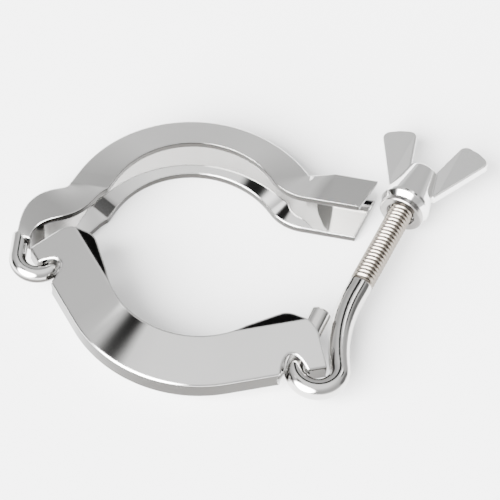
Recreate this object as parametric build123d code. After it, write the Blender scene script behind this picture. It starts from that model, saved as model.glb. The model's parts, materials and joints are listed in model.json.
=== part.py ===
from build123d import *
from math import atan2, cos, degrees, radians, sin, sqrt
import os

# Hinged clamp for a pair of sanitary ferrules on 2 inch tube: two pressed stainless jaws of
# V-section, hooked together at one end and drawn together at the other by a swing bolt
# and a wing nut. Millimetres.
# Origin: centre of the lower jaw's ring, half way up its height. +Z is the ring's axis (the pipe),
# +X runs from the hinge hook to the swing bolt, and +Y from the lower jaw to the upper one.

# ---- V-channel that both jaws are pressed from
lip_radius = 28.5        # inner edge of the flanks, clear of the tube behind the ferrules
channel_depth = 14.0     # from the lips out to the web
lip_half = 9.25          # half the height over the lips
web_half = 2.9           # half the height of the flat web
sheet = 2.0              # metal thickness
corner_round = 0.8       # pressing radius at the web

# ---- lower jaw
lower_bend = 37.3        # degrees either side of the middle where the web leaves its circle
tongue_length = 31.0     # straight web from there to the end of each tongue
eye_hole_radius = 5.2    # round hole through the web of each tongue
pin_strip = 5.0          # metal left between the hole and the tongue's end; it is the hinge pin
tongue_lip = 4.5         # flat rim beyond the flanks, before the tongues are trimmed
lip_arc = 56.0           # degrees either side of the middle that the lips follow the ring
crown_out = (9.1, 10.3)  # from the lips' end out to the tongue's crown
shoulder_up = (8.2, 9.6) # from the tongue's end back and up to its shoulder
crown_round = 6.0
shoulder_round = 7.5

# ---- upper jaw
jaw_opening = 20.0       # degrees that the upper jaw stands open
ear_bend_angle = 35.1    # where the ring ends and the ear starts, degrees from +X
ear_bend_gap = 0.6       # inside radius left at the web where the ear folds out
ear_slope = 6.0          # degrees the ear falls away from the closing plane
ear_length = 22.0        # straight part of the ear along its web
ear_spread = 8.0         # length over which the web widens to the ear's full width
ear_web_half = 6.2       # half the height of the ear's web, wide enough for the slot
ear_end_slant = 17.0     # degrees that the ear's end leans back
slot_half = 4.6          # half width of the bolt slot in the ear
root_angle = 155.0       # where the ring ends and the hook's root starts
root_length = 5.4        # straight channel before the root narrows
hook_bar = 5.4           # diameter of the hook
hook_bend = 6.3          # centre line radius of the hook's curl
hook_wrap = 190.0        # degrees that the hook runs round the pin strip
# the hook's root, pressed hollow and then solid: each section's web point and lip point,
# measured from the hinge's centre with the jaws closed, and half its height at both
hollow_root = (((4.6, 26.2), (14.1, 16.1), 9.0, 2.9),
               ((1.2, 25.0), (10.0, 12.5), 8.6, 2.9),
               ((-2.7, 22.6), (5.2, 10.9), 7.7, 2.8),
               ((-5.7, 18.4), (0.9, 9.9), 6.2, 2.7))
solid_root = (((-7.1, 12.7), (-2.1, 7.8), 4.4, 2.6),
              ((-7.5, 7.0), (-3.1, 5.0), 3.0, 2.4))

# ---- swing bolt, bent from one rod
shank_diameter = 7.8     # over the rolled thread
eye_rod = 6.5            # the rod is drawn down where it is bent
eye_bend = 7.0           # centre line radius of the eye
neck_bend = 50.0         # centre line radius of the sweep from the eye to the shank
shank_offset = 1.2       # shank's axis stands this far inside the eye's centre
bolt_length = 82.5       # eye centre to the thread's end
stub_length = 15.5       # free end of the rod past the eye
stub_rise = 13.0         # degrees the free end climbs so that it lies on the neck
bolt_swing = 1.4         # degrees the bolt leans outwards from square to the closing plane

# ---- washer and wing nut
washer_seat = 66.0       # eye centre to the washer's lower face
washer_radius = 7.2
washer_bore = 9.2
washer_thickness = 2.0
washer_break = 0.3
nut_gap = 0.1            # running gap between washer and nut
nut_clearance = 0.05     # radial, thread to nut bore
hub_base = 8.1           # largest radius of the hub
hub_face = 6.7           # radius of the face that bears on the washer
hub_top = 5.1
hub_height = 16.4
wing_thickness = 3.0
wing_reach = 19.2        # root to tip along the wing
wing_angle = 22.3        # degrees from the bolt's axis
wing_root_half = 3.0
wing_tip_half = 5.9
wing_corner = 2.6
wing_turn = -8.8         # degrees that the wings stand round from the jaws' plane

# ---- derived places
web_radius = lip_radius + channel_depth
leave = radians(lower_bend)
tangent_point = Vector(web_radius * sin(leave), -web_radius * cos(leave))
tongue_dir = Vector(cos(leave), sin(leave))
tongue_in = Vector(-sin(leave), cos(leave))
pin_along = tongue_length - pin_strip / 2
hole_along = tongue_length - pin_strip - eye_hole_radius
pivot = tangent_point + tongue_dir * pin_along + tongue_in * (0.65 * sheet)
bolt_axis = Axis((pivot.X, pivot.Y, 0), (0, 0, 1))
hinge_axis = Axis((-pivot.X, pivot.Y, 0), (0, 0, 1))
tall = 4 * lip_half


def channel_section(web=web_half, rim=0):
    """V of sheet metal: x runs in from the web's face to the lips, y is height.
    A rim carries the sheet on past the lips, level."""
    pitch = (lip_half - web) / channel_depth
    wall = sheet * sqrt(1 + pitch**2)
    inside = web + pitch * sheet - wall
    side = [(0, web), (channel_depth, lip_half)]
    if rim:
        turn = (lip_half - sheet - web + wall) / pitch
        side += [(channel_depth + rim, lip_half), (channel_depth + rim, lip_half - sheet),
                 (turn, lip_half - sheet)]
    else:
        side += [(channel_depth, lip_half - wall)]
    side += [(sheet, inside)]
    face = make_face(Polyline(*side, *[(x, -y) for x, y in reversed(side)], close=True))
    corners = face.vertices().filter_by(lambda v: v.X < sheet + 0.01)
    return fillet(corners, corner_round)


def ring_channel(section, start, sweep_angle):
    """Channel bent round the pipe axis, web outermost, from start degrees on."""
    plane = Plane(origin=(web_radius, 0, 0), x_dir=(-1, 0, 0), z_dir=(0, 1, 0))
    return Rot(0, 0, start) * revolve(plane * section, Axis.Z, sweep_angle)


def straight_channel(section, at, inward, along, length):
    """Straight length of channel whose web starts at a point and runs along a direction."""
    return extrude(Plane(origin=at, x_dir=inward, z_dir=along) * section, length)


def tongue_outline():
    """Plan of the lower jaw: straight off the ring, rounded over, square to the web's end."""
    off = radians(lip_arc)
    ring = Vector(lip_radius * sin(off), -lip_radius * cos(off))
    end = tangent_point + tongue_dir * tongue_length
    crown = ring + Vector(*crown_out)
    shoulder = Vector(end.X - shoulder_up[0], end.Y + shoulder_up[1])
    tip = end - tongue_in * 4
    clear = tip + Vector(8, -8)
    half = [ring, crown, shoulder, end + tongue_in * 0.5, tip, clear, Vector(clear.X, -2 * web_radius)]
    right = [(p.X, p.Y) for p in half]
    left = [(-x, y) for x, y in reversed(right)]
    plan = make_face(Polyline(*right, *left, close=True))
    for point, r in ((crown, crown_round), (shoulder, shoulder_round)):
        corners = plan.vertices().filter_by(
            lambda v: abs(abs(v.X) - point.X) < 0.01 and abs(v.Y - point.Y) < 0.01)
        plan = fillet(corners, r)
    plan -= Circle(lip_radius)
    return extrude(Pos(0, 0, -tall / 2) * plan, tall)


def eye_hole():
    """Drill through one tongue's web, square to it."""
    at = tangent_point + tongue_dir * hole_along - tongue_in * 5
    return extrude(Plane(origin=at, z_dir=tongue_in) * Circle(eye_hole_radius), 19)


def build_lower_jaw():
    section = channel_section(rim=tongue_lip)
    jaw = ring_channel(section, 270 - lower_bend, 2 * lower_bend)
    arm = straight_channel(section, tangent_point, tongue_in, tongue_dir, tongue_length + 6)
    jaw += [arm, mirror(arm, Plane.YZ)]
    jaw &= tongue_outline()
    hole = eye_hole()
    return jaw - hole - mirror(hole, Plane.YZ)


def build_ear():
    """The channel folds out of the ring round the foot of its web, widens and runs on."""
    start = radians(ear_bend_angle)
    out = Vector(cos(start), sin(start))
    foot = out * (web_radius + ear_bend_gap)
    turn = 90 - ear_bend_angle - ear_slope
    plane = Plane(origin=out * web_radius, x_dir=-out, z_dir=Vector(out.Y, -out.X))
    bend = revolve(plane * channel_section(), Axis(foot, (0, 0, 1)), turn)
    fall = radians(ear_slope)
    along = Vector(cos(fall), -sin(fall))
    inward = Vector(-sin(fall), -cos(fall))
    web = foot + inward * ear_bend_gap
    wide = Plane(origin=web + along * ear_spread, x_dir=inward, z_dir=along) * channel_section(ear_web_half)
    spread = loft([Plane(origin=web, x_dir=inward, z_dir=along) * channel_section(), wide], ruled=True)
    ear = spread + extrude(wide, ear_length - ear_spread)
    end = foot + along * ear_length
    blade = Pos(end.X, end.Y) * Rot(0, 0, -ear_slope - ear_end_slant) * Pos(15, 0) * Box(30, 60, tall)
    return bend + (ear - blade)


def bolt_slot():
    """Open slot in the ear that the closed bolt drops into."""
    stop = pivot.X - shank_offset - 0.3
    plan = Circle(slot_half) + Pos(20, 0) * Rectangle(40, 2 * slot_half)
    return Pos(stop, 0, 0) * extrude(Plane(origin=(0, 0, 0), x_dir=(1, 0, 0), z_dir=(0, 1, 0)) * plan, 40)


def root_section(web, lip, height, foot, inset):
    """One closed cross-section of the hook's root, standing on the line from web to lip."""
    line = (lip - web).normalized()
    depth = (lip - web).length
    plane = Plane(origin=web, x_dir=line, z_dir=line.cross(Vector(0, 0, 1)))
    wall = 1.1 * inset
    near, far = inset, depth + (2 * inset if inset else 0)
    top = height + (height - foot) / depth * (far - depth) - wall
    low = foot + (height - foot) / depth * inset - wall
    return plane * make_face(Polyline((near, -low), (near, low), (far, top), (far, -top), close=True))


def build_hook():
    """Channel narrowing and sinking into a round bar that curls round the pin strip."""
    turn = radians(root_angle)
    out = Vector(cos(turn), sin(turn))
    start = out * web_radius + Vector(-out.Y, out.X) * root_length
    centre = Vector(-pivot.X, pivot.Y)
    ends = [(start, start - out * channel_depth, lip_half, web_half)]
    hollow, filled = ([(centre + Vector(*web), centre + Vector(*lip), height, foot)
                       for web, lip, height, foot in part] for part in (hollow_root, solid_root))
    root = loft([root_section(*station, 0) for station in ends + hollow + filled])
    root -= loft([root_section(*station, sheet) for station in ends + hollow])
    side = centre - Vector(hook_bend, 0)
    bar = Plane(origin=side, z_dir=(0, 1, 0)) * Circle(hook_bar / 2)
    lead = extrude(bar, 8.0)
    curl = revolve(bar, hinge_axis, hook_wrap)
    tip = centre + Vector(-hook_bend, 0).rotate(Axis.Z, hook_wrap)
    return root + lead + curl + Pos(tip) * Sphere(hook_bar / 2)


def build_upper_jaw():
    section = channel_section()
    jaw = ring_channel(section, ear_bend_angle, root_angle - ear_bend_angle)
    turn = radians(root_angle)
    out = Vector(cos(turn), sin(turn))
    along = Vector(-out.Y, out.X)
    jaw += straight_channel(section, out * web_radius, -out, along, root_length)
    jaw += build_ear() - bolt_slot()
    jaw += build_hook()
    return jaw.rotate(hinge_axis, jaw_opening)


def build_swing_bolt():
    """Built upright with the eye's centre at the origin, then set on the tongue's pin strip."""
    reach = neck_bend + eye_bend
    centre = Vector(neck_bend - shank_offset, sqrt(reach**2 - (neck_bend - shank_offset)**2))
    meet = degrees(atan2(centre.Y, centre.X))
    rod = Circle(eye_rod / 2)
    join = Vector(eye_bend, 0).rotate(Axis.Z, meet)
    face = Plane(origin=join, z_dir=Vector(0, 1).rotate(Axis.Z, meet)) * rod
    eye = revolve(face, Axis((0, 0, 0), (0, 0, -1)), 180 + meet)
    rise = radians(stub_rise)
    side = Vector(-eye_bend, 0)
    lift = eye_rod * 2
    knee = revolve(Plane(origin=side, z_dir=(0, 1, 0)) * rod, Axis(side + Vector(0, 0, lift), (1, 0, 0)), stub_rise)
    free = side + Vector(0, lift * sin(rise), lift * (1 - cos(rise)))
    stub = extrude(Plane(origin=free, z_dir=(0, cos(rise), sin(rise))) * rod, stub_length)
    stub = chamfer(stub.edges().sort_by(Axis.Y)[-1], 0.7)
    foot = Vector(-shank_offset, centre.Y)
    path = CenterArc((centre.X, centre.Y), neck_bend, 180, meet)
    wide = Plane(origin=foot, z_dir=path % 0) * Circle(shank_diameter / 2)
    slim = Plane(origin=path @ 1, z_dir=path % 1) * rod
    neck = sweep([wide, slim], path=path, multisection=True)
    shank = extrude(Plane(origin=foot, z_dir=(0, 1, 0)) * Circle(shank_diameter / 2), bolt_length - foot.Y)
    shank = chamfer(shank.edges().sort_by(Axis.Y)[-1], 1.0)
    bolt = eye + knee + stub + neck + shank
    return (Pos(pivot) * bolt).rotate(bolt_axis, -bolt_swing)


def on_bolt(shape):
    """Stand a piece that was built upright along +Z on the bolt's axis in its rest place."""
    shape = Pos(-shank_offset, 0, 0) * Rot(-90, 0, 0) * shape
    return (Pos(pivot) * shape).rotate(bolt_axis, -bolt_swing)


def build_washer():
    ring = Cylinder(washer_radius, washer_thickness) - Cylinder(washer_bore / 2, washer_thickness)
    ring = chamfer(ring.edges().filter_by(GeomType.CIRCLE), washer_break)
    return on_bolt(Pos(0, 0, washer_seat + washer_thickness / 2) * ring)


def build_wing():
    lean = radians(wing_angle)
    along = Vector(sin(lean), 0, cos(lean))
    across = Vector(cos(lean), 0, -sin(lean))
    root = Vector(0.6 * hub_base, 0, 8.0)
    tip = root + along * (wing_reach + 4)
    corners = [root - across * wing_root_half, tip - across * wing_tip_half,
               tip + along * 0.7, tip + across * wing_tip_half, root + across * wing_root_half]
    flat = [(p.X, p.Z) for p in corners]
    blade = make_face(Polyline(*flat, close=True))
    blade = fillet(blade.vertices().sort_by_distance((flat[1][0], flat[1][1]))[0], wing_corner)
    blade = fillet(blade.vertices().sort_by_distance((flat[3][0], flat[3][1]))[0], wing_corner)
    plane = Plane(origin=(0, wing_thickness / 2, 0), x_dir=(1, 0, 0), z_dir=(0, -1, 0))
    wing = extrude(plane * blade, wing_thickness)
    return fillet(wing.faces().filter_by(Axis.Y).edges(), 0.5)


def build_wing_nut():
    """Conical hub with a rounded skirt and two flat wings, made in one piece."""
    bore = shank_diameter / 2 + nut_clearance
    side = [(bore, 0), (hub_face, 0), (hub_base, 1.6), (hub_base, 2.6),
            (hub_top, hub_height), (bore, hub_height)]
    plan = make_face(Polyline(*[(r, 0, z) for r, z in side], close=True))
    hub = revolve(plan, Axis.Z, 360)
    wing = build_wing()
    core = Cylinder(bore, 4 * hub_height)
    wings = wing + mirror(wing, Plane.YZ)
    nut = hub + (wings - core)
    base = washer_seat + washer_thickness + nut_gap
    return on_bolt(Pos(0, 0, base) * Rot(0, 0, wing_turn) * nut)


pieces = {
    "lower_jaw": build_lower_jaw,
    "upper_jaw": build_upper_jaw,
    "swing_bolt": build_swing_bolt,
    "washer": build_washer,
    "wing_nut": build_wing_nut,
}

os.makedirs("parts", exist_ok=True)
for name, build in pieces.items():
    export_step(build(), f"parts/{name}.step")
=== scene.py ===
import json
from math import cos, pi, radians

import bmesh
import bpy
from mathutils import Matrix, Vector

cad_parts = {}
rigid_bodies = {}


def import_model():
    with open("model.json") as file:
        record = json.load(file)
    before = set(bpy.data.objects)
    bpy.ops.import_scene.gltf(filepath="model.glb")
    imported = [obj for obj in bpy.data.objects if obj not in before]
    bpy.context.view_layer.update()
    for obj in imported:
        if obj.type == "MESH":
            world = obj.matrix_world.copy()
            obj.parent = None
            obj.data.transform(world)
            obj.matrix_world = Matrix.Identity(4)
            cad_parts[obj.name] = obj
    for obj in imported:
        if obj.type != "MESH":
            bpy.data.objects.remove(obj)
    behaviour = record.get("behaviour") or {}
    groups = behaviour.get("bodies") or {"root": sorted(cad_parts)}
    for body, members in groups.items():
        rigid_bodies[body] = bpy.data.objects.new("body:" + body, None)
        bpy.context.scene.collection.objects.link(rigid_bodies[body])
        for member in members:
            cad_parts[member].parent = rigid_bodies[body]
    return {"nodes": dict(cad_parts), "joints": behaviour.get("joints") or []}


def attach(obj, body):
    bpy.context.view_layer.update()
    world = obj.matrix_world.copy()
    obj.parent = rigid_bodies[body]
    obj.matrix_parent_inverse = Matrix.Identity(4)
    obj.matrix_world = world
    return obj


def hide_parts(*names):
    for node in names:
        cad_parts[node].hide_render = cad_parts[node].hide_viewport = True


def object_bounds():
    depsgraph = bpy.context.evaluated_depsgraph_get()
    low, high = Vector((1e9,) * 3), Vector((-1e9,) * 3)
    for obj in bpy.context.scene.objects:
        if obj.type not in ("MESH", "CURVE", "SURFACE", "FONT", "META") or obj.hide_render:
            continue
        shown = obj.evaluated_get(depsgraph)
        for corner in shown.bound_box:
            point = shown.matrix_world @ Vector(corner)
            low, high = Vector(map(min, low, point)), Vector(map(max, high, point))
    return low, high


for spare in list(bpy.data.objects):
    bpy.data.objects.remove(spare)

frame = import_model()
cad_low, cad_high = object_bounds()

# ---------------------------------------------------------------- lower jaw
# Half ring of V-section pressed from 2 mm stainless sheet. Beyond the round hole in each of
# its two tongues a strip of web is left, which carries the hinge at one end and the bolt at
# the other. Polished all over. Its upright faces are given a painted shade: a darker, warmer
# grey standing for dark reflections, with a little more roughness.

jaw_bright, jaw_dull = (0.62, 0.615, 0.605), (0.56, 0.555, 0.545)
jaw_smooth, jaw_rough = 0.03, 0.07
jaw_rounding = 0.0008
# painted shade: upright faces get this fraction of the dull grey, standing for dark reflections
jaw_upright_painted_shade = 0.11
mottle_scale, mottle_detail = 55.0, 3.0
grain_scale, grain_detail = 1200.0, 2.0
grain_depth = 0.0000008
# warm tint of the painted shade on upright faces
painted_shade_tint = (1.0, 0.97, 0.93)
upright_slope, level_slope = 0.25, 0.38
upright_gloss = 0.08
rounding_samples = 6


class Shade:
    """One socket in a finish's node tree. Arithmetic on it adds Math nodes."""

    def __init__(self, tree, socket=None):
        self.tree, self.socket = tree, socket

    def node(self, kind, settings=None, sockets=None, out=0):
        """Any other node: its settings go in first, then the values or links of its sockets."""
        made = self.tree.nodes.new(kind)
        for name, value in (settings or {}).items():
            if name == "stops":
                ramp = made.color_ramp.elements
                while len(ramp) < len(value):
                    ramp.new(0.5)
                for stop, (place, colour) in zip(ramp, value):
                    stop.position, stop.color = place, (*colour, 1)
            else:
                setattr(made, name, value)
        for name, value in (sockets or {}).items():
            if isinstance(value, Shade):
                self.tree.links.new(value.socket, made.inputs[name])
            else:
                made.inputs[name].default_value = value
        return Shade(self.tree, made.outputs[out] if made.outputs else None)

    def maths(self, operation, one, other):
        return self.node("ShaderNodeMath", {"operation": operation}, {0: one, 1: other})

    def __add__(self, other):
        return self.maths("ADD", self, other)

    def __sub__(self, other):
        return self.maths("SUBTRACT", self, other)

    def __rsub__(self, other):
        return self.maths("SUBTRACT", other, self)

    def __mul__(self, other):
        return self.maths("MULTIPLY", self, other)

    __radd__, __rmul__ = __add__, __mul__


def steel(name, bright, dull, smooth, rough, edge, upright=1.0, turned=None):
    """Stainless steel with its edges rounded over: two close greys and a roughness that wander
    between limits. Upright faces may get a painted shade, a darker tinted grey standing for dark
    reflections, with more roughness; what is near a line may be turned bright."""
    finish = bpy.data.materials.new(name)
    finish.use_nodes = True
    tree = finish.node_tree
    tree.nodes.clear()
    start = Shade(tree)
    place = start.node("ShaderNodeTexCoord", out=3)
    cloud = start.node("ShaderNodeTexNoise", sockets={
        "Vector": place, "Scale": mottle_scale, "Detail": mottle_detail})
    fine = start.node("ShaderNodeTexNoise", sockets={
        "Vector": place, "Scale": grain_scale, "Detail": grain_detail})
    colour = start.node("ShaderNodeMix", {"data_type": "RGBA"}, {
        "Factor": cloud, 6: (*bright, 1), 7: (*dull, 1)}, out=2)
    gloss = smooth + (rough - smooth) * cloud
    # painted shade: upright faces get a darker, warmer grey standing for dark reflections, and
    # more roughness
    if upright < 1:
        facing = start.node("ShaderNodeNewGeometry", out=3)
        rise = start.node("ShaderNodeSeparateXYZ", sockets={"Vector": facing}, out=2)
        slope = start.maths("ABSOLUTE", rise, 0.0)
        level = start.node("ShaderNodeMapRange", sockets={
            "Value": slope, "From Min": upright_slope, "From Max": level_slope})
        painted_shade_colour = tuple(upright * part * tint for part, tint in zip(dull, painted_shade_tint))
        colour = start.node("ShaderNodeMix", {"data_type": "RGBA"}, {
            "Factor": level, 6: (*painted_shade_colour, 1), 7: colour}, out=2)
        gloss = gloss + (1.0 - level) * upright_gloss
    if turned:
        foot, along, radius, fade, shine = turned
        offset = start.node("ShaderNodeVectorMath", {"operation": "SUBTRACT"}, {
            0: place, 1: foot})
        across = start.node("ShaderNodeVectorMath", {"operation": "CROSS_PRODUCT"}, {
            0: offset, 1: along})
        apart = start.node("ShaderNodeVectorMath", {"operation": "LENGTH"}, {0: across}, out=1)
        outside = start.node("ShaderNodeMapRange", sockets={
            "Value": apart, "From Min": radius, "From Max": radius + fade})
        gloss = gloss * outside + shine * (1.0 - outside)
    rounded = start.node("ShaderNodeBevel", {"samples": rounding_samples}, {"Radius": edge})
    bump = start.node("ShaderNodeBump", sockets={
        "Height": fine, "Strength": 1.0, "Distance": grain_depth, "Normal": rounded})
    surface = start.node("ShaderNodeBsdfPrincipled", sockets={
        "Base Color": colour, "Metallic": 1.0, "Roughness": gloss, "Normal": bump})
    start.node("ShaderNodeOutputMaterial", sockets={"Surface": surface})
    return finish


# the jaws' finish, which carries the painted shade on upright faces
polished = steel("polished_stainless_painted_shade", jaw_bright, jaw_dull, jaw_smooth, jaw_rough,
                 jaw_rounding, upright=jaw_upright_painted_shade)
frame["nodes"]["lower_jaw"].data.materials[0] = polished

# ---------------------------------------------------------------- upper jaw
# The same pressing in the same polished stainless, closed down at one end into the round hook
# of the hinge and folded out at the other into the slotted ear that the bolt drops into.

# It carries the same painted shade on its upright faces.
frame["nodes"]["upper_jaw"].data.materials[0] = polished

# ---------------------------------------------------------------- swing bolt
# One rod of drawn stainless bent into an eye round the lower jaw's pin strip, its free end
# laid back along the neck. The shank carries a rolled 5/16-18 thread over its outer 48 mm.

rod_bright, rod_dull = (0.60, 0.59, 0.575), (0.52, 0.51, 0.50)
rod_smooth, rod_rough = 0.05, 0.11
rod_rounding = 0.0005
# painted shade: the thread's greys are darkened far below the rod's to stand for the shade in its
# grooves
thread_shaded_bright, thread_shaded_dull = (0.25, 0.225, 0.195), (0.20, 0.18, 0.155)
thread_smooth, thread_rough = 0.20, 0.28
thread_rounding = 0.00005
shank_end = 0.0825
thread_pitch = 0.001411
thread_length = 0.0478
thread_radius = 0.0039
thread_depth = 0.00078
thread_turns = 35
rows_a_turn = 8
columns_round = 40
crest_height, flank_fall = 1.12, 1.45
run_out_turns = 1.5
end_chamfer = 0.001
row_merge, weld = 0.000002, 2e-6
cut_tolerance, split_margin = 1e-6, 1e-5
sharp_angle = radians(35)
turning = next(joint for joint in frame["joints"] if joint["name"] == "nut_turn")
bolt_foot = Vector(turning["pos_m"])
bolt_along = Vector(turning["axis"]).normalized()
thread_start = bolt_foot + bolt_along * (shank_end - thread_length)


def rolled_thread():
    """A sheet laid round the shank: its rows climb with the helix, and each turn has a root."""
    tree = bpy.data.node_groups.new("rolled_thread", "GeometryNodeTree")
    for name in ("Pitch", "Length", "Radius", "Depth"):
        tree.interface.new_socket(name=name, in_out="INPUT", socket_type="NodeSocketFloat")
    tree.interface.new_socket(name="Finish", in_out="INPUT", socket_type="NodeSocketMaterial")
    tree.interface.new_socket(name="Thread", in_out="OUTPUT", socket_type="NodeSocketGeometry")
    start = Shade(tree)
    given = tree.nodes.new("NodeGroupInput")
    pitch, length, radius, depth, finish = (
        Shade(tree, given.outputs[name])
        for name in ("Pitch", "Length", "Radius", "Depth", "Finish"))
    sheet = start.node("GeometryNodeMeshGrid", sockets={
        "Size X": 1.0, "Size Y": 1.0, "Vertices X": columns_round + 1,
        "Vertices Y": thread_turns * rows_a_turn + 1})
    place = start.node("GeometryNodeInputPosition")
    across = start.node("ShaderNodeSeparateXYZ", sockets={"Vector": place}, out=0)
    around = across + 0.5
    upward = start.node("ShaderNodeSeparateXYZ", sockets={"Vector": place}, out=1)
    turns = (upward + 0.5) * float(thread_turns)
    climb = (turns + around - 1.0) * pitch
    level = start.maths("MINIMUM", start.maths("MAXIMUM", climb, 0.0), length)
    wave = start.maths("FRACT", turns, 0.0)
    flank = crest_height - start.maths("ABSOLUTE", wave * 2.0 - 1.0, 0.0) * flank_fall
    crest = start.maths("MINIMUM", start.maths("MAXIMUM", flank, 0.0), 1.0)
    fade = start.maths("MINIMUM", start.maths("DIVIDE", level, pitch * run_out_turns), 1.0)
    reach = radius - (1.0 - crest) * fade * depth
    reach = start.maths("MINIMUM", reach, radius - end_chamfer + (length - level))
    angle = around * (2 * pi)
    point = start.node("ShaderNodeCombineXYZ", sockets={
        "X": start.maths("COSINE", angle, 0.0) * reach,
        "Y": start.maths("SINE", angle, 0.0) * reach, "Z": level})
    wound = start.node("GeometryNodeSetPosition", sockets={"Geometry": sheet, "Position": point})
    closed = start.node("GeometryNodeMergeByDistance", sockets={
        "Geometry": wound, "Distance": row_merge})
    plain = start.node("GeometryNodeRealizeInstances", sockets={"Geometry": closed})
    finished = start.node("GeometryNodeSetMaterial", sockets={
        "Geometry": plain, "Material": finish})
    start.node("NodeGroupOutput", sockets={"Thread": finished})
    return tree


bolt_finish = steel("drawn_stainless", rod_bright, rod_dull, rod_smooth, rod_rough, rod_rounding)
thread_finish = steel("thread_stainless", thread_shaded_bright, thread_shaded_dull, thread_smooth,
                      thread_rough, thread_rounding)

helix = bpy.data.objects.new("bolt_thread", bpy.data.meshes.new("bolt_thread"))
bpy.context.scene.collection.objects.link(helix)
winding = helix.modifiers.new("thread", "NODES")
winding.node_group = rolled_thread()
chosen = {"Pitch": thread_pitch, "Length": thread_length, "Radius": thread_radius,
          "Depth": thread_depth, "Finish": thread_finish}
for item in winding.node_group.interface.items_tree:
    if item.in_out == "INPUT":
        winding[item.identifier] = chosen[item.name]
bpy.context.view_layer.update()
wound_helix = helix.evaluated_get(bpy.context.evaluated_depsgraph_get())
thread_mesh = bpy.data.meshes.new_from_object(wound_helix)
bpy.data.objects.remove(helix)
thread_mesh.transform(Matrix.Translation(thread_start)
                      @ bolt_along.to_track_quat("Z", "X").to_matrix().to_4x4())

rod_mesh = frame["nodes"]["swing_bolt"].data.copy()
if "custom_normal" in rod_mesh.attributes:
    rod_mesh.attributes.remove(rod_mesh.attributes["custom_normal"])
shell = bmesh.new()
shell.from_mesh(rod_mesh)
bmesh.ops.remove_doubles(shell, verts=shell.verts, dist=weld)
bmesh.ops.bisect_plane(shell, geom=shell.verts[:] + shell.edges[:] + shell.faces[:],
                       dist=cut_tolerance, plane_co=thread_start, plane_no=bolt_along,
                       clear_outer=True)
shell.from_mesh(thread_mesh)
bmesh.ops.remove_doubles(shell, verts=shell.verts, dist=weld)
bmesh.ops.holes_fill(shell, edges=[edge for edge in shell.edges if edge.is_boundary], sides=0)
bmesh.ops.recalc_face_normals(shell, faces=shell.faces)
thread_side = thread_start + bolt_along * split_margin
for face in shell.faces:
    face.smooth = True
    face.material_index = int((face.calc_center_median() - thread_side).dot(bolt_along) > 0)
rod_mesh.materials.clear()
rod_mesh.materials.append(bolt_finish)
rod_mesh.materials.append(thread_finish)
shell.to_mesh(rod_mesh)
shell.free()
rod_mesh.set_sharp_from_angle(angle=sharp_angle)
bolt = bpy.data.objects.new("swing_bolt_rod", rod_mesh)
bpy.context.scene.collection.objects.link(bolt)
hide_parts("swing_bolt")
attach(bolt, "swing_bolt")

# ---------------------------------------------------------------- washer
# A plain washer of stainless sheet, punched and tumbled, so it is the dullest of the pieces.
# It lies loose on the bolt under the wing nut and follows it along the thread.

washer_bright, washer_dull = (0.34, 0.33, 0.32), (0.28, 0.27, 0.26)
washer_smooth, washer_rough = 0.20, 0.30
washer_rounding = 0.0003

frame["nodes"]["washer"].data.materials[0] = steel(
    "tumbled_stainless", washer_bright, washer_dull, washer_smooth, washer_rough,
    washer_rounding)

# ---------------------------------------------------------------- wing nut
# A conical hub with two flat wings, cast in stainless in one piece and left satin. Only the
# hub is turned bright, round the bolt that it screws along.

nut_bright, nut_dull = (0.86, 0.855, 0.84), (0.78, 0.775, 0.765)
nut_smooth, nut_rough = 0.22, 0.30
nut_rounding = 0.0007
hub_turned_radius, hub_turned_fade = 0.0082, 0.0008
hub_turned_gloss = 0.07

frame["nodes"]["wing_nut"].data.materials[0] = steel(
    "satin_stainless", nut_bright, nut_dull, nut_smooth, nut_rough, nut_rounding,
    turned=(bolt_foot, bolt_along, hub_turned_radius, hub_turned_fade, hub_turned_gloss))

# ---------------------------------------------------------------- floor, light and camera
# A wide sheet of white paper just under the clamp, and a studio round it. The light comes
# from above, from soft boxes and off dark cards, each given by its direction, the angles at
# which it is full and gone, and its brightness.

paper_grey, paper_roughness = 0.9, 0.9
paper_reach, paper_gap = 3.0, 0.0002
sky_strength = 3.0
sky_stops = ((0.0, 0.42), (0.12, 0.46), (0.30, 0.26), (0.60, 0.30), (0.80, 0.46), (0.94, 0.75))
cards = (((-0.207, 0.552, 0.81), 7, 11, 0.003),
         ((-0.43, -0.18, 0.89), 3, 9, 0.01),
         ((-0.565, -0.10, 0.82), 1, 4, 1.3),
         ((0.20, 0.55, 0.81), 3, 6, 1.8),
         ((0.42, 0.55, 0.72), 4, 8, 0.01),
         ((0.85, 0.45, 0.27), 14, 24, 0.10),
         ((-0.9, -0.3, 0.3), 10, 18, 0.03),
         ((-0.25, -0.80, 0.50), 22, 34, 16.0))
lens_length, sensor_width = 172.7, 36.0
near_clip, far_clip = 0.05, 20.0
camera_stand = Vector((0.1667, -0.3985, 0.6112))
camera_aim = Vector((0.0107, 0.0166, 0.0))
camera_roll = radians(4.51)

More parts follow.
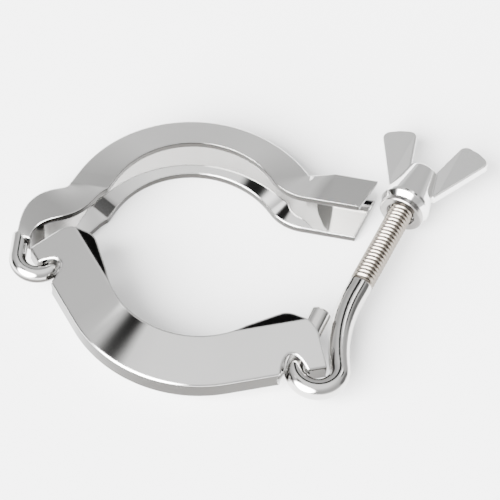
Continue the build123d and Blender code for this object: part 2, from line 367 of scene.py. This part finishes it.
ground = cad_low.z - paper_gap
floor_mesh = bpy.data.meshes.new("floor")
floor_mesh.from_pydata([(-paper_reach, -paper_reach, ground), (paper_reach, -paper_reach, ground),
                        (paper_reach, paper_reach, ground), (-paper_reach, paper_reach, ground)],
                       [], [(0, 1, 2, 3)])
floor = bpy.data.objects.new("floor", floor_mesh)
bpy.context.scene.collection.objects.link(floor)
paper = bpy.data.materials.new("paper")
paper.use_nodes = True
paper_face = paper.node_tree.nodes["Principled BSDF"].inputs
paper_face["Base Color"].default_value = (paper_grey, paper_grey, paper_grey, 1)
paper_face["Roughness"].default_value = paper_roughness
floor_mesh.materials.append(paper)

studio = bpy.data.worlds.new("studio")
bpy.context.scene.world = studio
studio.use_nodes = True
studio.node_tree.nodes.clear()
air = Shade(studio.node_tree)
heading = air.node("ShaderNodeTexCoord", out=0)
height = air.node("ShaderNodeSeparateXYZ", sockets={"Vector": heading}, out=2)
sky = air.node("ShaderNodeValToRGB", {
    "stops": [(place, (grey, grey, grey)) for place, grey in sky_stops]}, {"Fac": height})
for towards, full, gone, grey in cards:
    facing = air.node("ShaderNodeVectorMath", {"operation": "DOT_PRODUCT"}, {
        0: heading, 1: Vector(towards).normalized()}, out=1)
    inside = air.node("ShaderNodeMapRange", {"interpolation_type": "SMOOTHSTEP"}, {
        "Value": facing, "From Min": cos(radians(gone)), "From Max": cos(radians(full))})
    sky = air.node("ShaderNodeMix", {"data_type": "RGBA"}, {
        "Factor": inside, 6: sky, 7: (grey, grey, grey, 1)}, out=2)
glow = air.node("ShaderNodeBackground", sockets={"Color": sky, "Strength": sky_strength})
air.node("ShaderNodeOutputWorld", sockets={"Surface": glow})

lens = bpy.data.cameras.new("camera")
lens.lens = lens_length
lens.sensor_width = sensor_width
lens.clip_start, lens.clip_end = near_clip, far_clip
camera = bpy.data.objects.new("camera", lens)
bpy.context.scene.collection.objects.link(camera)
look = (camera_aim - camera_stand).normalized()
camera.matrix_world = (Matrix.Translation(camera_stand)
                       @ look.to_track_quat("-Z", "Y").to_matrix().to_4x4()
                       @ Matrix.Rotation(camera_roll, 4, "Z"))
bpy.context.scene.camera = camera
